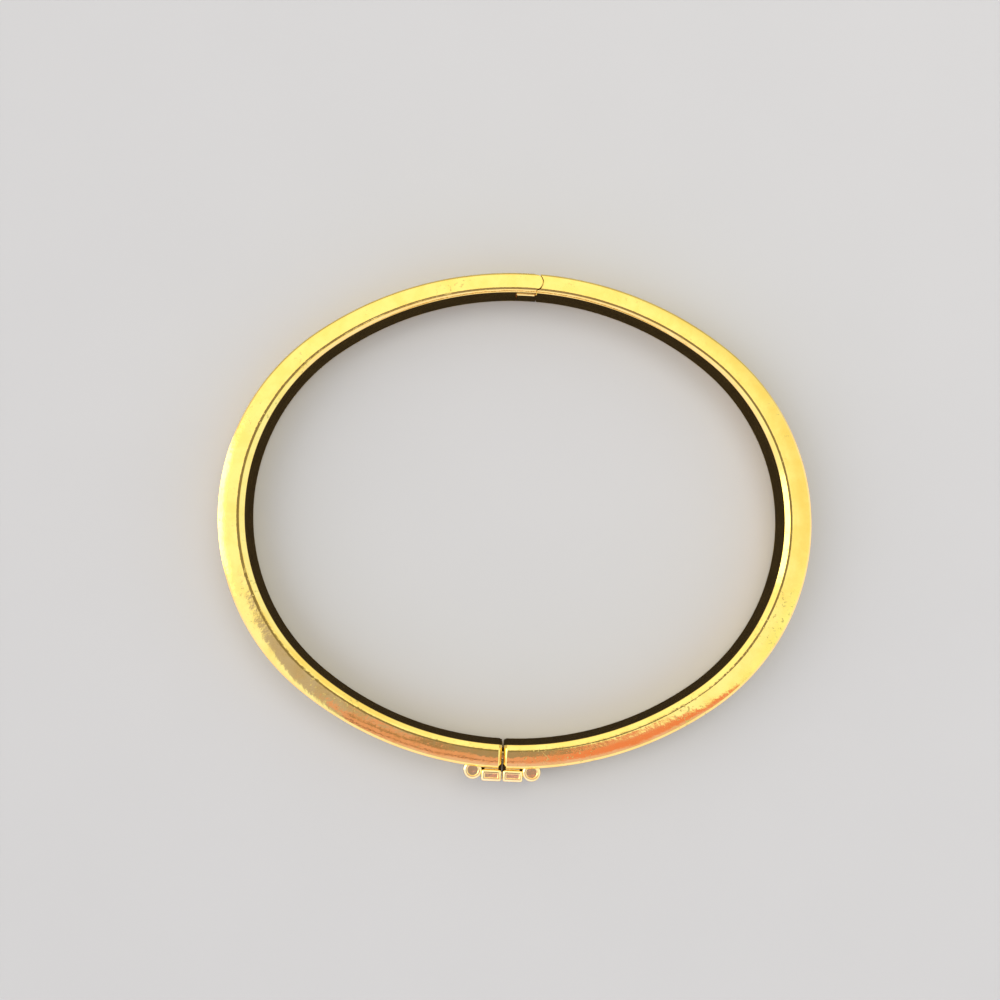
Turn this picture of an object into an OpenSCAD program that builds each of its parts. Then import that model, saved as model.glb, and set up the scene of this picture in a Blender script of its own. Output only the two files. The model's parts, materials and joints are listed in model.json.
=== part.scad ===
// Oval hinged bangle, lying on its side: X is the long way across, the hinge is at +Y,
// the opening and its four small bars are at -Y, and Z = 0 is the surface it lies on.

/* [Band] */
// Inside width of the wrist hollow, along X
hollow_w = 57.5; // [54:0.5:70]
// Inside depth of the wrist hollow, along Y
hollow_d = 48.2; // [38:0.1:52]
// Band width, which is its height as it lies
band_h = 4.7; // [3.8:0.1:8]
// Wall thickness at the two narrow ends of the oval
wall_side = 2.85; // [2.1:0.05:4]
// Mean of the wall's thickness at the hinge and at the opening
wall_front = 2.28; // [2.1:0.02:3.4]
// How far the hollow sits towards the hinge, where the wall is thinner
hollow_y = 0.2; // [0:0.02:0.24]
// Width of the bright bevel along the inner edges
lip = 0.5; // [0.2:0.05:0.6]
// Width of the bevel along the outer edges
edge = 0.28; // [0.1:0.02:0.4]

/* [Hinge] */
// How far the hinge sits to the right of the middle
hinge_x = 1.1; // [0:0.1:4]
// Depth of the hinge axis below the outer face
pin_inset = 0.95; // [0.9:0.01:1.1]
// Diameter of the hinge pin
pin_d = 0.8; // [0.6:0.05:0.9]
// Running clearance round the pin
pin_gap = 0.03; // [0.01:0.01:0.06]
// Radius of the rounded hinge end
nose_r = 0.9; // [0.75:0.01:0.95]
// Width of the curved seam beside the rounded end
seam = 0.085; // [0.06:0.005:0.12]
// Height of the middle knuckle
knuckle_h = 2.5; // [1.6:0.1:2.8]
// Gap above and below the middle knuckle
knuckle_gap = 0.06; // [0.04:0.01:0.1]
// Length of the slot to the left of the hinge axis
slot_w = 1.9; // [1.7:0.1:2.5]
// Metal left over the pin's hidden end
pin_cap = 0.4; // [0.3:0.05:0.6]
// How far the right half swings open, in degrees
open_angle = 38; // [30:1:40]

/* [Clasp] */
// How far the opening sits to the right of the middle
opening_x = -0.2; // [-3:0.1:1]
// Gap between the two halves at the opening
opening_gap = 0.2; // [0.1:0.02:0.3]
// Thickness of the tongue
tongue_t = 0.8; // [0.6:0.05:0.9]
// Height of the tongue
tongue_h = 2.6; // [1.8:0.1:2.8]
// Length of tongue that enters the left half
tongue_reach = 2.6; // [1.5:0.1:3]
// Length of tongue held in the right half
tongue_root = 2.4; // [1.5:0.1:3]
// Clearance round the tongue in its socket
socket_gap = 0.1; // [0.06:0.01:0.12]
// Gap round the tongue's fixed root
root_gap = 0.03; // [0.02:0.01:0.05]

/* [Bars] */
// How far the bars stand out from the band
bar_out = 1.4; // [1:0.05:2]
// How far the bars stop short of the band's two edges
bar_margin = 0.35; // [0.3:0.05:0.8]
// Width of each flat bar
flat_bar_w = 2.1; // [1.5:0.05:2.5]
// Diameter of each round bar
round_bar_d = 1.95; // [1.4:0.05:2.4]
// Bevel round the bars' edges
bar_bevel = 0.32; // [0.1:0.02:0.34]
// Groove between the flat bars and the band
bar_groove = 0.15; // [0.08:0.01:0.25]

/* [Hidden] */
$fn = 96;

GOLD = [0.93, 0.76, 0.33];
PIN_GOLD = [0.86, 0.68, 0.3];

// Overshoot of cutters past the faces that they cut
over = 1;
// Half lengths of the hollow and of the outer outline
hollow_a = hollow_w / 2;
hollow_b = hollow_d / 2;
outer_a = hollow_a + wall_side;
outer_b = hollow_b + wall_front;
// Depth of the swept rings, inward from the outline, before the hollow is cut
ring_t = max(wall_side, wall_front) + 2 * over;
// A length that reaches past the band from anywhere in it
far = 2 * outer_a + over;
// The footprint with its bars is centred on the origin
oval_y = bar_out / 2;

// Four-arc oval with half lengths a and b. An end arc's centre, a flank arc's centre and the
// origin make a triangle with sides 3, 4 and 5, so round lengths give arcs that meet exactly.
function spread(a, b) = round(100 * (a - b)) / 200;
function end_x(a, b) = 3 * spread(a, b);
function flank_drop(a, b) = 4 * spread(a, b);
function end_r(a, b) = round(1000 * (a - end_x(a, b))) / 1000;
function flank_r(a, b) = end_r(a, b) + 5 * spread(a, b);
// Angle above X at which an end arc meets a flank arc
join_angle = atan2(4, 3);
// Turn of each arc from there to just past the axis
end_arc = 54;
flank_arc = 38;
// Distance of the front or back line from the X axis at a given x
function flank_y(a, b, x) = sqrt(pow(flank_r(a, b), 2) - x * x) - flank_drop(a, b);

// Hinge axis, set in from the outer face along its normal
outer_flank_r = flank_r(outer_a, outer_b);
hinge_turn = asin(hinge_x / outer_flank_r);
pin_x = (outer_flank_r - pin_inset) * sin(hinge_turn);
pin_y = (outer_flank_r - pin_inset) * cos(hinge_turn) - flank_drop(outer_a, outer_b);
wall_at_pin = flank_y(outer_a, outer_b, hinge_x) - flank_y(hollow_a, hollow_b, hinge_x) - hollow_y;
// Depth from the hinge axis to well past the inner face
inner_reach = wall_at_pin - pin_inset + over;
recess_r = nose_r + seam;
pin_bore_r = pin_d / 2 + pin_gap;
pin_len = band_h - pin_cap - 2 * knuckle_gap;
// The right half's outer lip ends where a full swing leaves it just short of the top of the nose
lip_margin = 1;
outer_lip_x = recess_r * sin(open_angle + lip_margin);
// The seam's straight inner stretch, to the right of the axis
inner_seam_x = 0.3 * nose_r;
// The middle knuckle's square back fills its slot, and this is how high it is solid to the right
knuckle_back = slot_w - knuckle_gap;
knuckle_top = 0.65 * nose_r;
knuckle_low = (band_h - knuckle_h) / 2;

// The tongue lies on a circle about the hinge axis, so it slides clear as the bangle opens
hollow_at_opening = flank_y(hollow_a, hollow_b, opening_x) - hollow_y;
wall_mid_at_opening = (flank_y(outer_a, outer_b, opening_x) + hollow_at_opening) / 2;
swing_r = norm([pin_x - opening_x, pin_y + wall_mid_at_opening]);
swing_start = atan2(-wall_mid_at_opening - pin_y, opening_x - pin_x);
function swing_deg(length) = length / swing_r * 180 / PI;

// Bars: how far their backs are buried in the wall, how far the neighbours overlap, and how much
// narrower than its bar a flat bar's neck is on each side
bar_root = 0.6;
bar_overlap = 0.08;
neck_inset = 0.35;
bar_h = band_h - 2 * bar_margin;
flat_bar_x = opening_gap / 2 + flat_bar_w / 2;
round_bar_x = opening_gap / 2 + flat_bar_w - bar_overlap + round_bar_d / 2;

// Section of the band's outer side, measured outward from the outer outline
module outer_section() {
    polygon([
        [-ring_t, 0], [-edge, 0], [0, edge],
        [0, band_h - edge], [-edge, band_h], [-ring_t, band_h]
    ]);
}

// Section of what the hollow removes, flared along both edges to leave the bevelled lip
module hollow_section() {
    polygon([
        [-ring_t - over, -over], [lip + over, -over], [0, lip],
        [0, band_h - lip], [lip + over, band_h + over], [-ring_t - over, band_h + over]
    ]);
}

// Sweeps a section round the four arcs of the oval with half lengths a and b. Each arc is drawn
// from where it meets its neighbour to just past the axis, and mirrored there.
module sweep_oval(a, b) {
    for (across = [0, 1])
        for (along = [0, 1])
            mirror([across, 0, 0]) mirror([0, along, 0]) {
                translate([end_x(a, b), 0, 0]) rotate([0, 0, join_angle])
                    rotate_extrude(angle = -end_arc) translate([end_r(a, b), 0]) children();
                translate([0, -flank_drop(a, b), 0]) rotate([0, 0, join_angle])
                    rotate_extrude(angle = flank_arc) translate([flank_r(a, b), 0]) children();
            }
}

// The whole band, before it is parted
module ring() {
    difference() {
        sweep_oval(outer_a, outer_b) outer_section();
        translate([0, hollow_y, 0]) sweep_oval(hollow_a, hollow_b) hollow_section();
    }
}

// Places what follows at the hinge axis, with Y along the outward normal
module at_hinge() {
    translate([pin_x, pin_y, 0]) rotate([0, 0, -hinge_turn]) children();
}

// A block from one corner to the other, in the plane of the band, over heights z0 to z1
module slab(from, to, z0, z1) {
    translate([from.x, from.y, z0]) cube([to.x - from.x, to.y - from.y, z1 - z0]);
}

// The left half's share of the hinge, seen from above: body, nose and inner corner
module left_hinge_shape(z0, z1) {
    slab([-far, -outer_b], [0, over], z0, z1);
    slab([-over, -inner_reach], [inner_seam_x, -nose_r / 2], z0, z1);
    translate([0, 0, z0]) cylinder(r = nose_r, h = z1 - z0);
}

// What the right half leaves free for it, with the seam and the outer lip's end
module left_hinge_space(z0, z1) {
    slab([-far, 0], [outer_lip_x, over], z0, z1);
    slab([-far, -outer_b], [inner_seam_x + seam, 0], z0, z1);
    translate([0, 0, z0]) cylinder(r = recess_r, h = z1 - z0);
}

// The middle knuckle, round outside and square where it lies flush with the inner face
module knuckle_shape(z0, z1) {
    slab([-knuckle_back, -inner_reach], [0, -knuckle_gap], z0, z1);
    slab([0, -inner_reach], [recess_r + over, knuckle_top], z0, z1);
    translate([0, 0, z0]) cylinder(r = nose_r, h = z1 - z0);
}

// The slot in the left half in which the middle knuckle turns
module knuckle_space(z0, z1) {
    slab([-slot_w, -inner_reach], [0, 0], z0, z1);
    slab([0, -inner_reach], [recess_r + over, over], z0, z1);
    translate([0, 0, z0]) cylinder(r = recess_r, h = z1 - z0);
}

// Bore for the hinge pin
module pin_bore(z0, z1) {
    translate([pin_x, pin_y, z0]) cylinder(r = pin_bore_r, h = z1 - z0);
}

// Part of a ring about the hinge axis, through the middle of the wall at the opening
module swing_bar(back, ahead, t, h) {
    translate([pin_x, pin_y, band_h / 2])
        rotate([0, 0, swing_start - swing_deg(back)])
            rotate_extrude(angle = swing_deg(back + ahead))
                translate([swing_r, 0]) square([t, h], center = true);
}

// A block with every edge bevelled, centred on the origin
module bevelled_block(w, d, h) {
    intersection() {
        linear_extrude(h, center = true) bevelled_square(w, d);
        rotate([90, 0, 0]) linear_extrude(d, center = true) bevelled_square(w, h);
        rotate([90, 0, 90]) linear_extrude(w, center = true) bevelled_square(d, h);
    }
}

module bevelled_square(w, d) {
    x = w / 2;
    y = d / 2;
    c = bar_bevel;
    polygon([
        [-x, c - y], [c - x, -y], [x - c, -y], [x, c - y],
        [x, y - c], [x - c, y], [c - x, y], [-x, y - c]
    ]);
}

// The flat and the round bar of one half: side is -1 for the left half and 1 for the right
module bars(side) {
    flat_x = opening_x + side * flat_bar_x;
    flat_depth = bar_out - bar_groove;
    neck_w = flat_bar_w - 2 * neck_inset;
    neck_h = bar_h - 2 * neck_inset;
    round_x = opening_x + side * round_bar_x;
    round_y = flank_y(outer_a, outer_b, round_x) + bar_out - round_bar_d / 2;
    translate([flat_x, -outer_b - bar_out + flat_depth / 2, band_h / 2])
        bevelled_block(flat_bar_w, flat_depth, bar_h);
    translate([flat_x, -outer_b, band_h / 2])
        cube([neck_w, 2 * bar_root, neck_h], center = true);
    translate([round_x, -round_y, band_h / 2]) rotate_extrude()
        polygon([
            [0, -bar_h / 2], [round_bar_d / 2 - bar_bevel, -bar_h / 2],
            [round_bar_d / 2, bar_bevel - bar_h / 2], [round_bar_d / 2, bar_h / 2 - bar_bevel],
            [round_bar_d / 2 - bar_bevel, bar_h / 2], [0, bar_h / 2]
        ]);
}

// Left half: its band, the two outer hinge knuckles, the clasp's socket and two bars
module left_half() {
    color(GOLD) translate([0, oval_y, 0]) difference() {
        union() {
            difference() {
                ring();
                slab([opening_x - opening_gap / 2, -outer_b - over], [far, over], -over, band_h + over);
                difference() {
                    slab([pin_x - over, 0], [far, outer_b + over], -over, band_h + over);
                    at_hinge() left_hinge_shape(-2 * over, band_h + 2 * over);
                }
            }
            bars(-1);
        }
        at_hinge() knuckle_space(knuckle_low - knuckle_gap, band_h - knuckle_low + knuckle_gap);
        pin_bore(-over, band_h - pin_cap);
        swing_bar(tongue_reach + 2 * socket_gap, over, tongue_t + 2 * socket_gap, tongue_h + 2 * socket_gap);
    }
}

// Right half: its band, the hollowed hinge end with the middle knuckle, the tongue's pocket, two bars
module right_half() {
    color(GOLD) translate([0, oval_y, 0]) difference() {
        union() {
            difference() {
                ring();
                slab([-far, -outer_b - over], [opening_x + opening_gap / 2, over], -over, band_h + over);
                slab([-far, -over], [0, outer_b + over], -over, band_h + over);
                at_hinge() left_hinge_space(-over, band_h + over);
            }
            intersection() {
                ring();
                at_hinge() knuckle_shape(knuckle_low, band_h - knuckle_low);
            }
            bars(1);
        }
        pin_bore(-over, band_h + over);
        swing_bar(over, tongue_root + root_gap, tongue_t + 2 * root_gap, tongue_h + 2 * root_gap);
    }
}

// Hinge pin, fixed in the left half's knuckles and driven in from below
module hinge_pin() {
    color(PIN_GOLD) translate([pin_x, pin_y + oval_y, knuckle_gap])
        cylinder(r = pin_d / 2, h = pin_len);
}

// Tongue of the hidden clasp, held in the right half
module clasp_tongue() {
    color(PIN_GOLD) translate([0, oval_y, 0]) swing_bar(tongue_reach, tongue_root, tongue_t, tongue_h);
}

left_half();
right_half();
hinge_pin();
clasp_tongue();
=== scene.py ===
import json
import math

import bmesh
import bpy
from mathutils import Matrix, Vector


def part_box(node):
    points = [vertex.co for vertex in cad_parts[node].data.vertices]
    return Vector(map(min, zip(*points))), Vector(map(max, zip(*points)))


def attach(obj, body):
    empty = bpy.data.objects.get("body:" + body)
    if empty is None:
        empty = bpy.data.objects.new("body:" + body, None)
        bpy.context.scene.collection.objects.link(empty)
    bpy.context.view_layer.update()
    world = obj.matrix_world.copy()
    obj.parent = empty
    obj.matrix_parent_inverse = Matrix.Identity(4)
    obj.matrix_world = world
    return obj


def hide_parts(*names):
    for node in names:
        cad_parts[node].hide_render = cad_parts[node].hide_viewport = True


bl_info = {
    "name": "Oval hinged bangle",
    "version": (1, 0, 0),
    "blender": (4, 5, 0),
    "location": "3D View > Sidebar > Bangle",
    "description": "Models and finishes an oval hinged bangle that lies on a studio floor",
    "category": "Object",
}

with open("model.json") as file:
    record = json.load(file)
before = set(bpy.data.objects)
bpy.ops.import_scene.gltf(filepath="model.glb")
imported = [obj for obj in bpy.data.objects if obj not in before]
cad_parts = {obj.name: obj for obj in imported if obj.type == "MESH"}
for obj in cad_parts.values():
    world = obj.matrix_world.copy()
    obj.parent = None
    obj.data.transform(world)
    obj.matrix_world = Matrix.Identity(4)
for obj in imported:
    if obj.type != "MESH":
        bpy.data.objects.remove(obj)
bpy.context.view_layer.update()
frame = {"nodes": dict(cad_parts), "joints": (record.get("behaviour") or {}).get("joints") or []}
LEFT_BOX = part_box("left_half")
HINGE = next(j for j in frame["joints"] if j["name"] == "hinge")
PIN = Vector(HINGE["pos_m"])
MM = 0.001
# Angle above X at which an end arc of an oval meets a flank arc
JOIN = math.atan2(4, 3)
# Full swing of the hinge
OPEN = math.radians(HINGE["range_deg"][1])
# Steps round a circle in the hinge and the round bars
ROUND_STEPS = 80
# Length of the steps in which the band's sides are spun
STEP = 0.5 * MM
# Steps across the band's upper and lower faces, and the shares of them that fall away to the
# outside and to the hollow
CROWN_STEPS = 24
FALL_SHARE = 0.6
ROLL_SHARE = 0.15
# How far cutters run past what they cut, and joined tools into each other
OVER = 1 * MM
LAP = 0.1 * MM
# In metres: how near to each other points are merged, how near to its place a face is looked for,
# and how nearly the two ends of a level edge agree
MERGE = 4e-6
NEAR = 1e-6
LEVEL = 1e-7
# Reach of the tools that part the band: to each side, behind the pin and in front of it, the
# front tools' back end, and above and below the band
WIDE = 40 * MM
BEHIND = 3 * MM
BEFORE = 25.5 * MM
FRONT_END = 6 * MM
SPARE = 0.05 * MM
# Where the seam meets the hollow, and how far back the middle knuckle's web reaches, as shares of
# the nose's radius
SEAM_SHARE = 0.3
WEB_SHARE = 0.65
# Where the bevels on the band's two ends narrow towards, as a share of the wall's thickness, and
# their steps, as shares of their depth forwards and inwards
END_MIDDLE = 0.75
END_STEPS = ((0.1, 0.015), (0.2, 0.07), (0.84, 0.7), (0.95, 0.84), (1, 1))
# Steps of the dish in a bar's end: how far inwards, and the share of its depth
DISH_STEPS = ((0.02 * MM, 0), (0.025 * MM, 0.2), (0.02 * MM, 0.6), (0.025 * MM, 0.2), (0.02 * MM, 0))
# How far a flat bar's foot is set in from its back and runs into the band, and how far a round bar
# runs into its flat bar
FOOT_INSET = 0.03 * MM
FOOT = 0.55 * MM
BAR_LAP = 0.08 * MM
# Rounding of the tongue's long edges
TONGUE_SOFT = 0.12 * MM


def length(name, text, value, low, high):
    """A length that a user may change. Its default and its limits are given in millimetres."""
    return bpy.props.FloatProperty(
        name=name, description=text, default=value * MM, min=low * MM, max=high * MM,
        precision=5, subtype="DISTANCE", unit="LENGTH")


def colour(name, text, value, high=1):
    """A colour that a user may change."""
    return bpy.props.FloatVectorProperty(
        name=name, description=text, default=value, min=0, max=high, size=3, subtype="COLOR")


def factor(name, text, value):
    """A plain number from 0 to 1 that a user may change."""
    return bpy.props.FloatProperty(name=name, description=text, default=value, min=0, max=1)


def angle(name, text, degrees, low, high):
    """An angle that a user may change."""
    return bpy.props.FloatProperty(
        name=name, description=text, default=math.radians(degrees), min=math.radians(low),
        max=math.radians(high), subtype="ANGLE", unit="ROTATION")


class BangleSizes(bpy.types.PropertyGroup):
    """Sizes of the band, its hinge, its clasp and its bars."""

    outer_a: length(
        "Half length", "Half of the oval band's outside length", -LEFT_BOX[0].x / MM, 29, 40)
    band_h: length(
        "Band width", "Width of the band, which is its height as it lies", LEFT_BOX[1].z / MM, 4, 8)
    bar_out: length("Bar height", "How far the bars stand out from the band", 1.4, 1, 2)
    outer_b: length("Half depth", "Half of the oval band's outside depth", 26.38, 20, 30)
    hollow_a: length("Hollow half length", "Half of the wrist hollow's length", 28.75, 25, 36)
    hollow_b: length("Hollow half depth", "Half of the wrist hollow's depth", 24.1, 19, 27)
    hollow_y: length("Hollow shift", "How far the hollow sits towards the hinge", 0.2, 0, 0.24)
    fall: length(
        "Outer fall", "How far the upper face falls away towards its outer edge", 0.07, 0.01, 0.2)
    roll: length("Inner fall", "How far the upper face falls away towards the hollow", 0.033, 0.01, 0.1)
    edge: length("Outer bevel", "Bevel along the band's outer edges", 0.26, 0.1, 0.5)
    lip: length(
        "Inner bevel", "Width of the bevel along the band's inner edges, at the oval's ends",
        0.47, 0.2, 0.8)
    lip_drop: length(
        "Inner bevel's depth", "How far that bevel runs down the inner wall", 0.34, 0.2, 0.8)
    lip_front: length(
        "Inner bevel at the opening", "Width of that bevel at the opening", 0.34, 0.2, 0.8)
    lip_back: length("Inner bevel at the hinge", "Width of that bevel at the hinge", 0.22, 0.2, 0.8)
    crease: length("Softened crease", "How far each crease of the band is rounded", 0.055, 0.01, 0.1)
    hinge_x: length("Hinge offset", "How far the hinge sits to the right of the middle", 1.1, 0, 4)
    nose_r: length("Nose radius", "Radius of the rounded hinge end", 0.9, 0.7, 1)
    seam: length("Seam", "Width of the curved seam beside the rounded end", 0.085, 0.06, 0.12)
    seam_bevel: length("Seam bevel", "Bevel along the seam's upper and lower edges", 0.06, 0.01, 0.1)
    knuckle_h: length("Knuckle height", "Height of the middle knuckle", 2.5, 1.6, 2.8)
    knuckle_gap: length("Knuckle gap", "Gap round the middle knuckle", 0.06, 0.04, 0.1)
    slot_w: length("Slot", "Length of the middle knuckle's slot", 1.9, 1.7, 2.5)
    pin_bore: length("Pin bore", "Radius of the hinge pin's bore", 0.43, 0.3, 0.5)
    pin_cap: length("Pin cap", "Metal left over the pin's hidden end", 0.4, 0.3, 0.6)
    opening_x: length("Opening offset", "Where the opening is along X", -0.2, -3, 1)
    opening_gap: length("Opening gap", "Gap between the two halves at the opening", 0.2, 0.1, 0.3)
    end_bevel: length("End bevel", "Bevel all round the band's two ends at the opening", 0.36, 0.1, 0.5)
    tongue_t: length("Tongue thickness", "Thickness of the clasp's tongue", 0.8, 0.6, 0.9)
    tongue_h: length("Tongue height", "Height of the clasp's tongue", 2.6, 1.8, 2.8)
    tongue_reach: length("Tongue reach", "How far the tongue enters the left half", 2.6, 1.5, 3)
    tongue_root: length("Tongue root", "How far the tongue runs into the right half", 2.4, 1.5, 3)
    socket_gap: length("Socket gap", "Clearance round the tongue in its socket", 0.1, 0.06, 0.12)
    root_gap: length("Root gap", "Gap round the tongue's fixed root", 0.03, 0.02, 0.05)
    bar_margin: length("Bar margin", "How far the bars stop short of the band's edges", 0.35, 0.3, 0.8)
    flat_bar_w: length("Flat bar width", "Width of each flat bar", 2.1, 1.5, 2.5)
    round_bar_d: length("Round bar width", "Diameter of each round bar", 1.95, 1.4, 2.4)
    bar_bevel: length("Bar bevel", "Bevel round the bars' edges", 0.32, 0.1, 0.34)
    bar_groove: length("Groove", "Groove between the flat bars and the band", 0.15, 0.08, 0.25)
    bar_gap: length("Bar gap", "Gap between the two flat bars", 0.1, 0.06, 0.3)
    bar_dish: length("Dish", "Depth of the sunk panel in each end of a bar", 0.1, 0.01, 0.2)
    tab_rise: length(
        "Knuckle rise", "How far the middle knuckle stands proud in the hollow", 0.14, 0.01, 0.2)
    tab_bevel: length(
        "Knuckle bevel", "Bevel round the middle knuckle where it shows in the hollow",
        0.11, 0.01, 0.15)


class BangleLooks(bpy.types.PropertyGroup):
    """Colours and finishes of the metal."""

    gold: colour("Gold", "Colour of the polished gold", (1.0, 0.76, 0.195))
    deep_gold: colour("Deep gold", "Tint of the gold's darker clouds", (0.97, 0.92, 0.8))
    worn_gold: colour("Worn gold", "Colour of the plating's matt wear specks", (0.6, 0.47, 0.12))
    bar_gold: colour("Bar gold", "Colour of the paler gold of the bars", (1.0, 0.8, 0.34))
    inside_gold: colour("Inside gold", "Colour of the hollow's wall", (0.9, 0.66, 0.2))
    fittings_gold: colour("Fittings gold", "Colour of the pin and the tongue", (0.6, 0.43, 0.15))
    polish: factor("Polish", "Roughness of the polished faces", 0.07)
    inside_polish: factor("Inside polish", "Roughness of the hollow's wall", 0.16)
    waviness: factor("Waviness", "Strength of the polished faces' waves", 0.5)


class BangleStudio(bpy.types.PropertyGroup):
    """Floor, light and camera."""

    floor: colour("Floor", "Colour of the floor", (0.47, 0.457, 0.415))
    sky: colour("Sky", "Colour of the light tent towards the front", (1.1, 1.2, 1.55), 2)
    shade: colour("Shade", "Colour of the dark screen round the camera", (0.27, 0.24, 0.26))
    grey: colour("Grey", "Colour of the grey screen to the left of the camera", (0.55, 0.51, 0.9))
    warm: colour("Warm", "Colour of the warm screen below the camera, on its left", (0.82, 0.44, 0.62))
    red: colour("Red", "Colour of the same screen on its right", (0.88, 0.31, 0.34))
    window: colour("Window", "Colour of the window light on the left", (1.0, 0.98, 0.95))
    camera_tilt: angle(
        "Camera tilt", "Angle between the camera's line of sight and the vertical", 3, 0, 90)
    camera_turn: angle(
        "Camera turn", "Turn of the camera and of the light about the vertical", 2.45, -180, 180)
    camera_lens: bpy.props.FloatProperty(
        name="Lens", description="Focal length on a 36 mm sensor", default=37.08, min=10, max=200,
        subtype="DISTANCE_CAMERA", unit="CAMERA")
    camera_place: bpy.props.FloatVectorProperty(
        name="Camera place", description="Where the camera is",
        default=(-1.39 * MM, -3.2 * MM, 113.85 * MM), size=3, subtype="XYZ", unit="LENGTH")


# Selecting and shaping

def only(*pieces):
    """Selects these pieces and nothing else, with the first one active."""
    bpy.ops.object.select_all(action="DESELECT")
    for piece in pieces:
        piece.select_set(True)
    bpy.context.view_layer.objects.active = pieces[0]


def edit(piece):
    """Opens one piece in edit mode, with nothing selected."""
    only(piece)
    bpy.ops.object.mode_set(mode="EDIT")
    bpy.ops.mesh.select_all(action="DESELECT")


def leave():
    """Goes back to object mode."""
    bpy.ops.object.mode_set(mode="OBJECT")


def pick(kind, test):
    """Selects, in edit mode, the verts, edges or faces that pass a test, and nothing else."""
    bpy.ops.mesh.select_all(action="DESELECT")
    bpy.ops.mesh.select_mode(type=kind)
    mesh = bpy.context.edit_object.data
    shape = bmesh.from_edit_mesh(mesh)
    found = {"VERT": shape.verts, "EDGE": shape.edges, "FACE": shape.faces}[kind]
    count = 0
    for element in found:
        if test(element):
            element.select_set(True)
            count += 1
    if not count:
        raise RuntimeError(f"no {kind.lower()} of {bpy.context.edit_object.name} is where it should be")
    shape.select_flush_mode()
    bmesh.update_edit_mesh(mesh)


def round_corners(kind, width, steps, profile=0.5):
    """Bevels the selected edges or vertices by a width, in one or more steps."""
    bpy.ops.mesh.bevel(
        offset=width, offset_type="OFFSET", segments=steps, profile=profile, affect=kind,
        clamp_overlap=False)


def middle(element):
    """The middle of an edge or a face."""
    return sum((v.co for v in element.verts), Vector()) / len(element.verts)


def apply_place(piece):
    """Puts a piece's place, turn and scale into its mesh."""
    only(piece)
    bpy.ops.object.transform_apply(location=True, rotation=True, scale=True)


def named(name):
    """Gives the new active object and its mesh a name."""
    piece = bpy.context.active_object
    piece.name = name
    piece.data.name = name
    return piece


def block(name, low, high):
    """A box from one corner to the other."""
    low, high = Vector(low), Vector(high)
    bpy.ops.object.select_all(action="DESELECT")
    bpy.ops.mesh.primitive_cube_add(size=1, location=(low + high) / 2)
    piece = named(name)
    piece.scale = high - low
    apply_place(piece)
    return piece


def drum(name, radius, low, high):
    """An upright cylinder about the Z axis."""
    bpy.ops.object.select_all(action="DESELECT")
    bpy.ops.mesh.primitive_cylinder_add(
        vertices=ROUND_STEPS, radius=radius, depth=high - low, location=(0, 0, (low + high) / 2))
    piece = named(name)
    apply_place(piece)
    return piece


def upright_plane(name, centre, near, far, low, high, turn):
    """An upright rectangle in a radial plane about centre, from one radius to another."""
    along = Vector((math.cos(turn), math.sin(turn), 0))
    place = centre + along * (near + far) / 2
    place.z = (low + high) / 2
    bpy.ops.object.select_all(action="DESELECT")
    bpy.ops.mesh.primitive_plane_add(size=1, location=place, rotation=(math.pi / 2, 0, turn))
    piece = named(name)
    piece.scale = (far - near, high - low, 1)
    apply_place(piece)
    return piece


def combine(piece, tool, operation):
    """Adds, cuts or keeps what the tool covers, and removes the tool."""
    only(piece)
    joint = piece.modifiers.new("combine", "BOOLEAN")
    joint.object = tool
    joint.operation = operation
    joint.solver = "EXACT"
    bpy.ops.object.modifier_apply(modifier=joint.name)
    bpy.data.objects.remove(tool)


def copied(piece, name):
    """A copy with its own mesh."""
    twin = piece.copy()
    twin.data = piece.data.copy()
    twin.name = name
    twin.data.name = name
    bpy.context.scene.collection.objects.link(twin)
    return twin


def close_up(piece, near=MERGE):
    """Merges doubled points and turns every face outwards."""
    edit(piece)
    bpy.ops.mesh.select_all(action="SELECT")
    bpy.ops.mesh.remove_doubles(threshold=near)
    bpy.ops.mesh.normals_make_consistent(inside=False)
    leave()


def smooth(piece, degrees=32):
    """Smooth shading that keeps real corners, with the large faces left even."""
    only(piece)
    bpy.ops.object.shade_smooth_by_angle(angle=math.radians(degrees))
    weigh = piece.modifiers.new("even_faces", "WEIGHTED_NORMAL")
    weigh.keep_sharp = True
    weigh.weight = 60
    bpy.ops.object.modifier_apply(modifier=weigh.name)


# The oval band

def oval(a, b, y):
    """Four-arc oval with half lengths a and b and its middle at y. An end arc's centre, a flank
    arc's centre and the middle make a triangle with sides 3, 4 and 5."""
    spread = (a - b) / 2
    end_r = a - 3 * spread
    return {
        "end_x": 3 * spread, "drop": 4 * spread, "end_r": end_r, "flank_r": end_r + 5 * spread, "y": y}


def ovals(sizes):
    """The outer oval and the hollow's oval. The footprint with its bars is centred on the origin."""
    outer = oval(sizes.outer_a, sizes.outer_b, sizes.bar_out / 2)
    return outer, oval(sizes.hollow_a, sizes.hollow_b, outer["y"] + sizes.hollow_y)


def flank_y(shape, x):
    """Distance of an oval's front or back line from its middle line at x."""
    return math.sqrt(shape["flank_r"] ** 2 - x * x) - shape["drop"]


def outline_gap(shape, x, y):
    """Distance of a point inwards from an oval's outline."""
    x, y = abs(x), abs(y - shape["y"])
    if math.atan2(y, x - shape["end_x"]) < JOIN:
        return shape["end_r"] - math.hypot(x - shape["end_x"], y)
    return shape["flank_r"] - math.hypot(x, y + shape["drop"])


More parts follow.
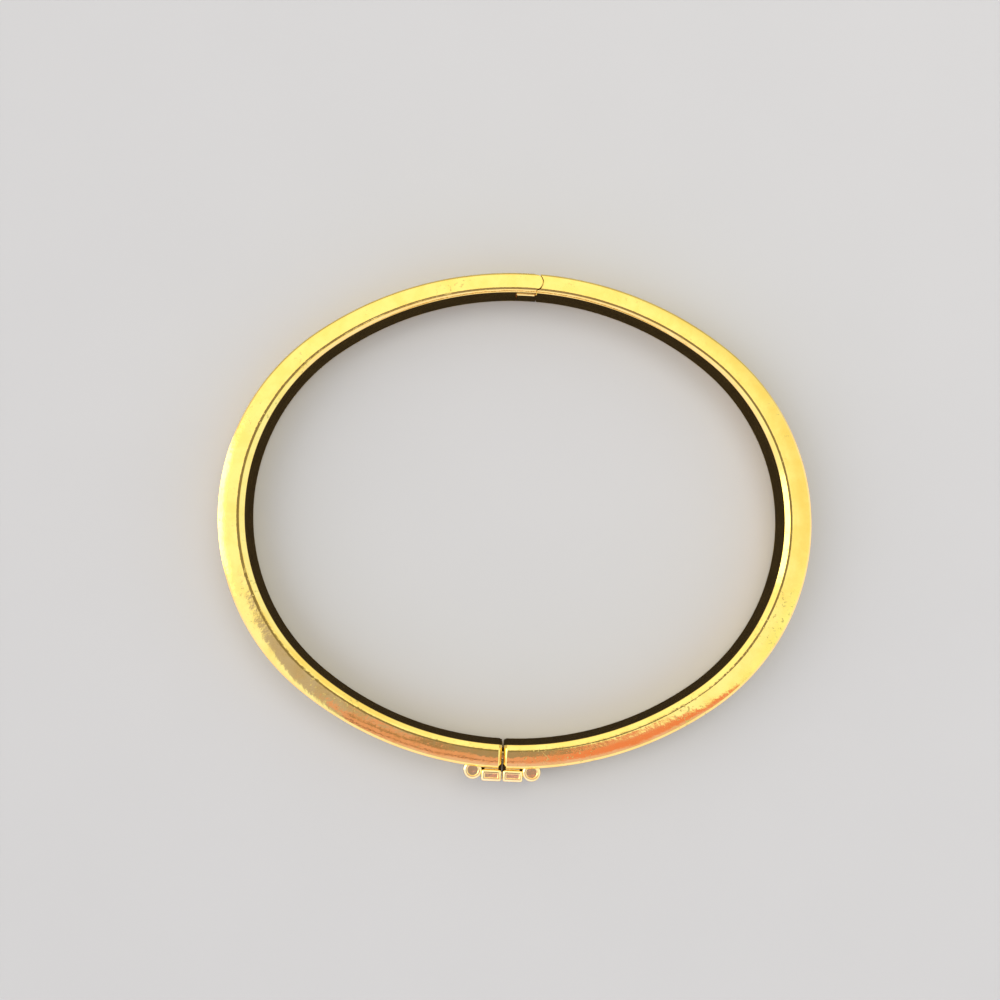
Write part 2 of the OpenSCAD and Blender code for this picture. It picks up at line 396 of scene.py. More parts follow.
def arcs(shape, sizes):
    """Start angle, and the centre, radius and turn of each arc, anticlockwise from the opening and
    back to it."""
    y = shape["y"]
    start = -math.pi / 2 + math.asin(sizes.opening_x / shape["flank_r"])
    front = Vector((0, y + shape["drop"], 0))
    back = Vector((0, y - shape["drop"], 0))
    right = Vector((shape["end_x"], y, 0))
    left = Vector((-shape["end_x"], y, 0))
    flank, end = shape["flank_r"], shape["end_r"]
    return start, [
        (front, flank, -JOIN - start), (right, end, 2 * JOIN), (back, flank, math.pi - 2 * JOIN),
        (left, end, 2 * JOIN), (front, flank, math.pi + start - JOIN)]


def band_side(name, sizes, shape, depth, bevel, fall):
    """One side of the band: an upright strip with bevelled and softened edges, spun round the oval.
    depth is how far its section reaches into the metal, and is negative for the outer side."""
    low, high = fall, sizes.band_h - fall
    start, turns = arcs(shape, sizes)
    steps = [round(turn * radius / STEP) for _, radius, turn in arcs(ovals(sizes)[0], sizes)[1]]
    centre = turns[0][0]
    face_r = shape["flank_r"]
    piece = upright_plane(
        name, centre, min(face_r, face_r + depth), max(face_r, face_r + depth), low, high, start)

    def inset(v):
        return abs(math.hypot(v.co.x - centre.x, v.co.y - centre.y) - face_r)

    edit(piece)
    pick("VERT", lambda v: inset(v) < abs(depth) / 4)
    round_corners("VERTICES", bevel, 1)
    round_corners("VERTICES", sizes.crease, 4)
    pick("VERT", lambda v: inset(v) > abs(depth) * 0.95)
    bpy.ops.mesh.delete(type="VERT")
    bpy.ops.mesh.select_all(action="SELECT")
    for (where, _, turn), count in zip(turns, steps):
        bpy.ops.mesh.spin(steps=count, angle=-turn, center=where, axis=(0, 0, 1))
    bpy.ops.mesh.select_all(action="SELECT")
    bpy.ops.mesh.remove_doubles(threshold=MERGE)
    leave()
    return piece


def whole_band(sizes):
    """The closed oval band, before it is parted."""
    outer, hollow = ovals(sizes)
    strip = 1 * MM
    piece = band_side("band", sizes, outer, -strip, sizes.edge, sizes.fall)
    inner = band_side("inner_side", sizes, hollow, strip, sizes.lip_drop, sizes.roll)
    middle_y = hollow["y"]

    # Draw the bevel along the inner edges wide at the oval's ends and narrow at its hinge
    edit(inner)
    pick("VERT", lambda v: -outline_gap(hollow, v.co.x, v.co.y) > sizes.lip_drop * 0.6)
    wide = (sizes.hollow_a + sizes.lip) / (sizes.hollow_a + sizes.lip_drop)
    mean_lip = (sizes.lip_back + sizes.lip_front) / 2
    deep = (sizes.hollow_b + mean_lip) / (sizes.hollow_b + sizes.lip_drop)
    shift = (sizes.lip_back - sizes.lip_front) / 2
    bpy.ops.transform.resize(value=(wide, deep, 1), center_override=(0, middle_y, 0))
    bpy.ops.transform.translate(value=(0, shift, 0))
    leave()

    only(piece, inner)
    bpy.ops.object.join()

    # Close the upper and lower face, and let them fall away to both sides
    edit(piece)
    for upper in (False, True):
        pick("EDGE", lambda e: e.is_boundary and (middle(e).z > sizes.band_h / 2) == upper)
        bpy.ops.mesh.bridge_edge_loops(number_cuts=CROWN_STEPS - 1, interpolation="LINEAR")

    def share(v):
        x, y = v.co.x / wide, (v.co.y - middle_y - shift) / deep + middle_y
        from_outside = outline_gap(outer, v.co.x, v.co.y) - sizes.edge - sizes.crease
        from_hollow = -outline_gap(hollow, x, y) - sizes.lip_drop - sizes.crease
        return from_outside / (from_outside + from_hollow)

    near = abs(sizes.fall - sizes.roll) / CROWN_STEPS / 3
    for loop in range(1, CROWN_STEPS):
        part = loop / CROWN_STEPS
        straight = sizes.fall * (1 - part) + sizes.roll * part
        curved = sizes.fall * max(0, 1 - part / FALL_SHARE) ** 2 + sizes.roll * max(
            0, 1 - (1 - part) / ROLL_SHARE) ** 2
        for base, way in ((straight, -1), (sizes.band_h - straight, 1)):
            pick("VERT", lambda v: abs(v.co.z - base) < near and abs(share(v) * CROWN_STEPS - loop) < 1.5)
            bpy.ops.transform.translate(value=(0, 0, way * (straight - curved)))
    leave()
    close_up(piece)
    return piece


# Parting the band

def hinge_turn(sizes):
    """Turn of the band's normal away from Y at the hinge."""
    return math.asin(sizes.hinge_x / ovals(sizes)[0]["flank_r"])


def at_hinge(piece, sizes):
    """Places a tool at the pin, with Y along the band's outward normal."""
    piece.location = PIN
    piece.rotation_euler.z = -hinge_turn(sizes)
    apply_place(piece)
    return piece


def joined(tools):
    """One tool from several that overlap."""
    first = tools[0]
    for tool in tools[1:]:
        combine(first, tool, "UNION")
    return first


def soften_rims(tool, sizes, low, high):
    """Bevels a tool's upper and lower rims near the pin, so that what it leaves has softened edges."""
    width = sizes.seam_bevel + (high - low - sizes.band_h) / 2

    def rim(e):
        if len(e.link_faces) != 2 or abs(e.verts[0].co.z - e.verts[1].co.z) > LEVEL:
            return False
        tilts = sorted(abs(f.normal.z) for f in e.link_faces)
        near = min(math.hypot(v.co.x - PIN.x, v.co.y - PIN.y) for v in e.verts)
        return tilts[0] < 0.1 and tilts[1] > 0.9 and near < 3 * MM

    edit(tool)
    bpy.ops.mesh.select_all(action="SELECT")
    bpy.ops.mesh.remove_doubles(threshold=LEVEL)
    pick("EDGE", rim)
    round_corners("EDGES", width, 2)
    leave()


def pin_bore(sizes, low, high):
    """Tool for the pin's bore."""
    return at_hinge(drum("bore_tool", sizes.pin_bore, low, high), sizes)


def left_keep(sizes):
    """Everything that the left half may fill."""
    low, high = -SPARE, sizes.band_h + SPARE
    reach = inner_reach(sizes)
    hinge_end = joined([
        block("keep", (-WIDE, -BEFORE, low), (0, BEHIND, high)),
        block("corner", (-0.5 * MM, -reach, low), (SEAM_SHARE * sizes.nose_r, -sizes.nose_r / 2, high)),
        drum("nose", sizes.nose_r, low, high)])
    at_hinge(hinge_end, sizes)
    soften_rims(hinge_end, sizes, low, high)
    end = sizes.opening_x - sizes.opening_gap / 2 - sizes.end_bevel
    front = block("front", (-WIDE, -WIDE, -OVER), (end, FRONT_END, sizes.band_h + OVER))
    combine(hinge_end, front, "UNION")
    recess = sizes.nose_r + sizes.seam
    low = (sizes.band_h - sizes.knuckle_h) / 2 - sizes.knuckle_gap
    high = sizes.band_h - low
    # The slot's cutter reaches deeper than the corner that it cuts
    deep = reach + 0.3 * MM
    slot = joined([
        block("slot", (-sizes.slot_w, -deep, low), (LAP, 0, high)),
        block("clear", (0, -deep, low), (recess + OVER, OVER, high)),
        drum("recess", recess, low, high)])
    combine(hinge_end, at_hinge(slot, sizes), "DIFFERENCE")
    combine(hinge_end, pin_bore(sizes, -OVER, sizes.band_h - sizes.pin_cap), "DIFFERENCE")
    return hinge_end


def right_keep(sizes):
    """Everything that the right half may fill."""
    low, high = -SPARE, sizes.band_h + SPARE
    reach = inner_reach(sizes)
    recess = sizes.nose_r + sizes.seam
    seam_x = SEAM_SHARE * sizes.nose_r + sizes.seam
    hinge_end = block("keep", (seam_x, -BEFORE, low), (WIDE, BEHIND, high))
    # The hollowed end clears the left half at full swing, with a degree to spare
    free = recess * math.sin(OPEN + math.radians(1))
    space = joined([
        block("space", (-OVER, 0, -OVER), (free, BEHIND + OVER, high + OVER)),
        drum("recess", recess, -OVER, high + OVER)])
    combine(hinge_end, space, "DIFFERENCE")
    at_hinge(hinge_end, sizes)
    soften_rims(hinge_end, sizes, low, high)
    end = sizes.opening_x + sizes.opening_gap / 2 + sizes.end_bevel
    front = block("front", (end, -WIDE, -OVER), (WIDE, FRONT_END, sizes.band_h + OVER))
    combine(hinge_end, front, "UNION")
    low = (sizes.band_h - sizes.knuckle_h) / 2
    high = sizes.band_h - low
    knuckle = joined([
        block("back", (sizes.knuckle_gap - sizes.slot_w, -reach, low), (LAP, -sizes.knuckle_gap, high)),
        block("web", (0, -reach, low), (recess + OVER, WEB_SHARE * sizes.nose_r, high)),
        drum("knuckle", sizes.nose_r, low, high)])
    combine(hinge_end, at_hinge(knuckle, sizes), "UNION")
    combine(hinge_end, pin_bore(sizes, -OVER, sizes.band_h + OVER), "DIFFERENCE")
    return hinge_end


def inner_reach(sizes):
    """Depth from the pin to well past the hollow's wall."""
    outer, hollow = ovals(sizes)
    wall = flank_y(outer, sizes.hinge_x) - flank_y(hollow, sizes.hinge_x) - sizes.hollow_y
    return wall - outline_gap(outer, PIN.x, PIN.y) + OVER


def round_off_end(piece, sizes, side):
    """Brings a half's end forward to the opening, with a softened bevel all round."""
    depth = sizes.end_bevel
    edit(piece)
    face_x = sizes.opening_x + side * (sizes.opening_gap / 2 + depth)
    pick("FACE", lambda f: abs(middle(f).x - face_x) < NEAR and -side * f.normal.x > 0.99)
    points = [v.co.copy() for v in bmesh.from_edit_mesh(piece.data).verts if v.select]
    low = Vector([min(p[i] for p in points) for i in range(3)])
    high = Vector([max(p[i] for p in points) for i in range(3)])
    half_y, half_z = END_MIDDLE * (high.y - low.y), (high.z - low.z) / 2
    centre = low + Vector((0, half_y, half_z))
    done = Vector((0, 0))
    for forward, inward in END_STEPS:
        bpy.ops.mesh.extrude_region_move(
            TRANSFORM_OT_translate={"value": (-side * depth * (forward - done.x), 0, 0)})
        now, before = depth * inward, depth * done.y
        bpy.ops.transform.resize(
            value=(1, (half_y - now) / (half_y - before), (half_z - now) / (half_z - before)),
            center_override=centre)
        done = Vector((forward, inward))
    leave()


def raise_tab(piece, sizes):
    """Lets the middle knuckle stand a little proud in the hollow's wall, with softened edges."""
    hollow = ovals(sizes)[1]
    low = (sizes.band_h - sizes.knuckle_h) / 2
    high = sizes.band_h - low
    along = Vector((math.cos(hinge_turn(sizes)), -math.sin(hinge_turn(sizes)), 0))

    def on_tab(v):
        on_wall = abs(outline_gap(hollow, v.co.x, v.co.y)) < 0.004 * MM
        beside_seam = v.co.y > 0 and (v.co - PIN).dot(along) < 0.15 * MM
        return on_wall and beside_seam and low - NEAR < v.co.z < high + NEAR

    edit(piece)
    pick("VERT", on_tab)
    tab = {v.index for v in bmesh.from_edit_mesh(piece.data).verts if v.select}
    bpy.ops.transform.translate(value=(0, -sizes.tab_rise, 0))
    pick("EDGE", lambda e: e.calc_face_angle(0) > 0.8 and all(v.index in tab for v in e.verts))
    round_corners("EDGES", sizes.tab_bevel, 1)
    leave()


def swing_bar(name, sizes, back, ahead, thick, high, soft=0):
    """Part of a ring about the pin, through the middle of the wall at the opening."""
    outer, hollow = ovals(sizes)
    wall = sum(shape["y"] - flank_y(shape, sizes.opening_x) for shape in (outer, hollow)) / 2
    reach = Vector((sizes.opening_x - PIN.x, wall - PIN.y))
    radius = reach.length
    start = math.atan2(reach.y, reach.x) - back / radius
    piece = upright_plane(
        name, PIN, radius - thick / 2, radius + thick / 2, (sizes.band_h - high) / 2,
        (sizes.band_h + high) / 2, start)
    edit(piece)
    bpy.ops.mesh.select_all(action="SELECT")
    if soft:
        round_corners("VERTICES", soft, 4)
        bpy.ops.mesh.select_all(action="SELECT")
    bpy.ops.mesh.delete(type="ONLY_FACE")
    bpy.ops.mesh.select_all(action="SELECT")
    steps = max(4, round((back + ahead) / STEP))
    bpy.ops.mesh.spin(steps=steps, angle=-(back + ahead) / radius, center=PIN, axis=(0, 0, 1))
    bpy.ops.mesh.select_all(action="SELECT")
    bpy.ops.mesh.fill_holes(sides=0)
    leave()
    close_up(piece)
    return piece


def line_hollow(piece, sizes, satin):
    """Gives the hollow's wall its satin finish."""
    hollow = ovals(sizes)[1]
    piece.data.materials.append(satin)
    edit(piece)
    pick("FACE", lambda f: abs(f.normal.z) < 0.3 and all(
        -0.02 * MM < outline_gap(hollow, v.co.x, v.co.y) < sizes.tab_rise + 0.02 * MM for v in f.verts))
    piece.active_material_index = 1
    bpy.ops.object.material_slot_assign()
    leave()


# Finishes

def add(tree, kind, inputs, **settings):
    """Adds a shader node, and sets or links its inputs."""
    node = tree.nodes.new(kind)
    for name, value in settings.items():
        setattr(node, name, value)
    for name, value in inputs.items():
        socket = node.inputs[name]
        if isinstance(value, bpy.types.NodeSocket):
            tree.links.new(value, socket)
        else:
            socket.default_value = value
    return node


def sum_up(tree, operation, *values, clamp=False):
    """Adds a Math node and returns its value."""
    node = add(tree, "ShaderNodeMath", dict(enumerate(values)), operation=operation, use_clamp=clamp)
    return node.outputs[0]


def times(tree, first, second, clamp=False):
    """Adds a Math node that multiplies, and returns its value."""
    return sum_up(tree, "MULTIPLY", first, second, clamp=clamp)


def between(tree, value, low, high, start=0.0, end=1.0):
    """A soft step: start below low, end above high."""
    node = add(tree, "ShaderNodeMapRange", {
        "Value": value, "From Min": low, "From Max": high, "To Min": start, "To Max": end},
        interpolation_type="SMOOTHSTEP")
    return node.outputs["Result"]


def blend(tree, share, first, second):
    """Mixes two colours."""
    node = add(tree, "ShaderNodeMix", {"Factor": share, "A": first, "B": second}, data_type="RGBA")
    return node.outputs["Result"]


def noise(tree, where, scale, detail=2.0, roughness=0.5):
    """A noise between 0 and 1 with so many bumps a metre."""
    node = add(tree, "ShaderNodeTexNoise", {
        "Vector": where, "Scale": scale, "Detail": detail, "Roughness": roughness})
    return node.outputs["Fac"]


def shared_group(name, numbers, output):
    """A node group on object coordinates with named number inputs, or None if it is there already."""
    if name in bpy.data.node_groups:
        return None
    tree = bpy.data.node_groups.new(name, "ShaderNodeTree")
    tree.interface.new_socket("Place", in_out="INPUT", socket_type="NodeSocketVector")
    for label, value in numbers.items():
        socket = tree.interface.new_socket(label, in_out="INPUT", socket_type="NodeSocketFloat")
        socket.default_value = value
    tree.interface.new_socket(output, in_out="OUTPUT", socket_type="NodeSocketFloat")
    return tree


def put_out(tree, value):
    """Sends a value out of a shared group, and returns the group."""
    out = tree.nodes.new("NodeGroupOutput")
    tree.links.new(value, out.inputs[0])
    return tree


def hand_polish():
    """Group: waves and soft dimples that hand polishing leaves."""
    name = "hand_polish"
    tree = shared_group(name, {"Waves": 1.0, "Dimples": 1.0}, "Height")
    if tree is None:
        return bpy.data.node_groups[name]
    into = tree.nodes.new("NodeGroupInput").outputs
    wide = noise(tree, into["Place"], 260, 1.5)
    fine = noise(tree, into["Place"], 2300, 2.5, 0.55)
    dimples = times(tree, times(tree, fine, 0.14), into["Dimples"])
    return put_out(tree, sum_up(tree, "ADD", times(tree, wide, into["Waves"]), dimples))


def fine_scratches():
    """Group: hairline scratches in two directions."""
    name = "fine_scratches"
    tree = shared_group(name, {"Amount": 1.0}, "Mask")
    if tree is None:
        return bpy.data.node_groups[name]
    into = tree.nodes.new("NodeGroupInput").outputs
    masks = []
    for turn, across in ((0.5, 7000), (-0.8, 9000)):
        place = add(tree, "ShaderNodeMapping", {
            "Vector": into["Place"], "Rotation": (0.2, 0.3, turn),
            "Scale": (across, 160, 900)}).outputs[0]
        lines = noise(tree, place, 1.0, 1.0)
        masks.append(between(tree, lines, 0.66, 0.72))
    return put_out(tree, times(tree, sum_up(tree, "MAXIMUM", *masks), into["Amount"], clamp=True))


def wear_specks():
    """Group: specks where the plating is worn, gathered in patches."""
    name = "wear_specks"
    tree = shared_group(name, {"Amount": 1.0, "Size": 1.0}, "Mask")
    if tree is None:
        return bpy.data.node_groups[name]
    into = tree.nodes.new("NodeGroupInput").outputs
    scale = sum_up(tree, "DIVIDE", 2600, into["Size"])
    specks = between(tree, noise(tree, into["Place"], scale, 2, 0.6), 0.6, 0.66)
    patches = between(tree, noise(tree, into["Place"], 230, 1), 0.5, 0.68)
    return put_out(tree, times(tree, times(tree, specks, patches), into["Amount"], clamp=True))


def use(tree, group, place, **numbers):
    """Places a shared group in a material and returns its output."""
    node = tree.nodes.new("ShaderNodeGroup")
    node.node_tree = group
    tree.links.new(place, node.inputs["Place"])
    for name, value in numbers.items():
        node.inputs[name].default_value = value
    return node.outputs[0]


def fresh_material(name):
    """An empty material with its metal shader."""
    material = bpy.data.materials.new(name)
    material.use_nodes = True
    tree = material.node_tree
    tree.nodes.clear()
    out = tree.nodes.new("ShaderNodeOutputMaterial")
    metal = add(tree, "ShaderNodeBsdfPrincipled", {"Metallic": 1.0})
    tree.links.new(metal.outputs["BSDF"], out.inputs["Surface"])
    place = tree.nodes.new("ShaderNodeTexCoord").outputs["Object"]
    return material, tree, metal, place


def emboss(tree, metal, height, distance):
    """Gives the metal the relief of a height, which is so deep."""
    bump = add(tree, "ShaderNodeBump", {"Height": height, "Strength": 1.0, "Distance": distance})
    tree.links.new(bump.outputs["Normal"], metal.inputs["Normal"])


def polished_gold(name, looks, tint, waves, scratches, specks):
    """Bright hand-polished gold plating with a little wear."""
    if name in bpy.data.materials:
        return bpy.data.materials[name]
    material, tree, metal, place = fresh_material(name)
    clouds = between(tree, noise(tree, place, 420, 3, 0.6), 0.35, 0.68)
    deep = tuple(t * d for t, d in zip(tint, looks.deep_gold))
    tone = blend(tree, clouds, (*tint, 1), (*deep, 1))
    mask = use(tree, wear_specks(), place, Amount=specks, Size=1.0)
    tree.links.new(blend(tree, mask, tone, (*looks.worn_gold, 1)), metal.inputs["Base Color"])
    lines = use(tree, fine_scratches(), place, Amount=scratches)
    rough = sum_up(tree, "ADD", times(tree, clouds, looks.polish * 0.6), looks.polish * 0.7)
    rough = sum_up(tree, "ADD", rough, times(tree, lines, 0.14))
    rough = sum_up(tree, "ADD", rough, times(tree, mask, 0.42), clamp=True)
    tree.links.new(rough, metal.inputs["Roughness"])
    height = use(tree, hand_polish(), place, Waves=waves, Dimples=1.0)
    emboss(tree, metal, height, looks.waviness * 0.1 * MM)
    return material


def satin_gold(name, tint, polish, along):
    """Satin gold: fine lines left by a file run in one direction."""
    if name in bpy.data.materials:
        return bpy.data.materials[name]
    material, tree, metal, place = fresh_material(name)
    clouds = between(tree, noise(tree, place, 500, 3, 0.6), 0.3, 0.7)
    darker = tuple(t * 0.8 for t in tint)
    tree.links.new(blend(tree, clouds, (*tint, 1), (*darker, 1)), metal.inputs["Base Color"])
    filed = add(tree, "ShaderNodeMapping", {"Vector": place, "Scale": along}).outputs[0]
    lines = noise(tree, filed, 1.0, 2)
    # The lowest part is rubbed matt where it stands on a table
    height = add(tree, "ShaderNodeSeparateXYZ", {"Vector": place}).outputs["Z"]
    rubbed = times(tree, between(tree, height, 0.44 * MM, 0.5 * MM, 0.5, 0.0), lines)
    rough = sum_up(tree, "ADD", times(tree, lines, polish), polish * 0.6)
    rough = sum_up(tree, "ADD", rough, rubbed, clamp=True)
    tree.links.new(rough, metal.inputs["Roughness"])
    polish_marks = use(tree, hand_polish(), place, Waves=1.0, Dimples=1.0)
    emboss(tree, metal, sum_up(tree, "ADD", polish_marks, times(tree, lines, 0.2)), 0.012 * MM)
    return material


def band_gold(looks):
    """The halves' polished gold."""
    return polished_gold("polished_gold", looks, looks.gold, waves=1.0, scratches=0.3, specks=0.8)


def bar_gold(looks):
    """The bars' paler gold, with fewer specks."""
    return polished_gold("bar_gold", looks, looks.bar_gold, waves=0.8, scratches=0.4, specks=0.2)


def hollow_gold(looks):
    """The satin gold of the hollow's wall, filed along the wall."""
    return satin_gold("satin_inside", looks.inside_gold, looks.inside_polish, (500, 500, 9000))


def fittings_gold(looks):
    """The satin gold of the pin and the tongue."""
    return satin_gold(
        "satin_fittings", looks.fittings_gold, looks.inside_polish, (400, 6000, 6000))


# Operators

class BANGLE_OT_halves(bpy.types.Operator):
    """Models the oval band and parts it into the left and the right half."""

    bl_idname = "bangle.halves"
    bl_label = "Make the two halves"

    def execute(self, context):
        sizes, looks = context.scene.bangle_sizes, context.scene.bangle_looks
        left = whole_band(sizes)
        right = copied(left, "right_band")
        left.name = left.data.name = "left_band"
        combine(left, left_keep(sizes), "INTERSECT")
        combine(right, right_keep(sizes), "INTERSECT")
        for piece, side in ((left, -1), (right, 1)):
            round_off_end(piece, sizes, side)
        raise_tab(right, sizes)
        room = 2 * sizes.socket_gap
        combine(left, swing_bar(
            "socket", sizes, sizes.tongue_reach + room, OVER,
            sizes.tongue_t + room, sizes.tongue_h + room), "DIFFERENCE")
        room = 2 * sizes.root_gap
        combine(right, swing_bar(
            "pocket", sizes, OVER, sizes.tongue_root + sizes.root_gap,
            sizes.tongue_t + room, sizes.tongue_h + room), "DIFFERENCE")
        for piece, body in ((left, "left"), (right, "right")):
            close_up(piece, NEAR)
            piece.data.materials.clear()
            piece.data.materials.append(band_gold(looks))
            line_hollow(piece, sizes, hollow_gold(looks))
            smooth(piece)
            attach(piece, body)
            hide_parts(f"{body}_half")
        return {"FINISHED"}


def dish(piece, sizes, low, high):
    """Sinks a panel with softened edges into a bar's upper and lower end."""
    edit(piece)
    for level, way in ((low, -1), (high, 1)):
        pick("FACE", lambda f: way * f.normal.z > 0.9 and abs(middle(f).z - level) < NEAR)
        for inward, down in DISH_STEPS:
            bpy.ops.mesh.inset(thickness=inward, depth=-sizes.bar_dish * down, use_even_offset=True)
    leave()


def finish_bar(piece, body, looks):
    """Gives a bar its gold and lets it move with its half."""
    piece.data.materials.clear()
    piece.data.materials.append(bar_gold(looks))
    close_up(piece, NEAR)
    smooth(piece, 40)
    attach(piece, body)


class BANGLE_OT_flat_bars(bpy.types.Operator):
    """Models the flat bar beside the opening on each half."""

    bl_idname = "bangle.flat_bars"
    bl_label = "Make the flat bars"

    def execute(self, context):
        sizes, looks = context.scene.bangle_sizes, context.scene.bangle_looks
        low, high = sizes.bar_margin, sizes.band_h - sizes.bar_margin
        front = ovals(sizes)[0]["y"] - sizes.outer_b - sizes.bar_out
        depth = sizes.bar_out - sizes.bar_groove
        for body, side in (("left", -1), ("right", 1)):
            near = sizes.opening_x + side * sizes.bar_gap / 2
            far = sizes.opening_x + side * (sizes.opening_gap / 2 + sizes.flat_bar_w)
            piece = block(
                f"{body}_flat_bar", (min(near, far), front, low), (max(near, far), front + depth, high))
            edit(piece)
            bpy.ops.mesh.select_all(action="SELECT")
            round_corners("EDGES", sizes.bar_bevel, 5, 0.6)
            pick("FACE", lambda f: f.normal.y > 0.99 and abs(middle(f).y - front - depth) < NEAR)
            bpy.ops.mesh.inset(thickness=FOOT_INSET, depth=0)
            bpy.ops.mesh.extrude_region_move(
                TRANSFORM_OT_translate={"value": (0, sizes.bar_groove + FOOT, 0)})
            leave()
            dish(piece, sizes, low, high)
            finish_bar(piece, body, looks)
        return {"FINISHED"}


class BANGLE_OT_round_bars(bpy.types.Operator):
    """Models the round bar outside each flat bar."""

    bl_idname = "bangle.round_bars"
    bl_label = "Make the round bars"

    def execute(self, context):
        sizes, looks = context.scene.bangle_sizes, context.scene.bangle_looks
        low, high = sizes.bar_margin, sizes.band_h - sizes.bar_margin
        radius = sizes.round_bar_d / 2
        outer = ovals(sizes)[0]
        for body, side in (("left", -1), ("right", 1)):
            x = sizes.opening_x + side * (sizes.opening_gap / 2 + sizes.flat_bar_w - BAR_LAP + radius)
            piece = drum(f"{body}_round_bar", radius, low, high)
            edit(piece)
            pick("EDGE", lambda e: abs(e.verts[0].co.z - e.verts[1].co.z) < LEVEL)
            round_corners("EDGES", sizes.bar_bevel, 5, 0.6)
            leave()
            dish(piece, sizes, low, high)
            piece.location = (x, outer["y"] - flank_y(outer, x) - sizes.bar_out + radius, 0)
            apply_place(piece)
            finish_bar(piece, body, looks)
        return {"FINISHED"}


class BANGLE_OT_tongue(bpy.types.Operator):
    """Models the hidden clasp's tongue, which the right half holds."""

    bl_idname = "bangle.tongue"
    bl_label = "Make the clasp's tongue"

    def execute(self, context):
        sizes, looks = context.scene.bangle_sizes, context.scene.bangle_looks
        piece = swing_bar(
            "tongue", sizes, sizes.tongue_reach, sizes.tongue_root, sizes.tongue_t, sizes.tongue_h,
            TONGUE_SOFT)
        piece.data.materials.append(fittings_gold(looks))
        smooth(piece, 40)
        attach(piece, "right")
        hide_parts("clasp_tongue")
        return {"FINISHED"}


class BANGLE_OT_pin(bpy.types.Operator):
    """Finishes the hinge pin, whose shape comes from the frame."""

    bl_idname = "bangle.pin"
    bl_label = "Finish the hinge pin"

    def execute(self, context):
        pin = frame["nodes"]["hinge_pin"]
        pin.data.materials.clear()
        pin.data.materials.append(fittings_gold(context.scene.bangle_looks))
        return {"FINISHED"}


# Colours of the light beside those that a user may change, by their place in the tent
BACK = (1.3, 1.27, 1.32, 1)
RIGHT_FRONT = (1.0, 1.18, 1.05, 1)
RIGHT_BACK = (0.98, 0.95, 0.8, 1)
LOW_FRONT = (1.15, 1.05, 1.8, 1)
LOW_RIGHT = (1.0, 1.15, 1.5, 1)
WARM_FRONT = (0.85, 0.6, 1.1, 1)
DARK_LINE = (0.2, 0.1, 0.12, 1)
DARK_BAR = (0.34, 0.24, 0.28, 1)
VIOLET_PATCH = (0.4, 0.33, 0.48, 1)
RIM_FRONT = (1.15, 1.05, 1.6, 1)
RIM_BACK = (0.6, 0.58, 0.5, 1)
GROUND = (0.4, 0.38, 0.35, 1)
GROUND_BELOW = (0.03, 0.022, 0.015, 1)
WINDOW_POWER = 3.8
# Size of the floor, and the size, power and place of the soft lamp
FLOOR_SIZE = 4
LAMP_SIZE = 0.25
LAMP_POWER = 0.5
LAMP_PLACE = (0.12, 0.16, 0.4)


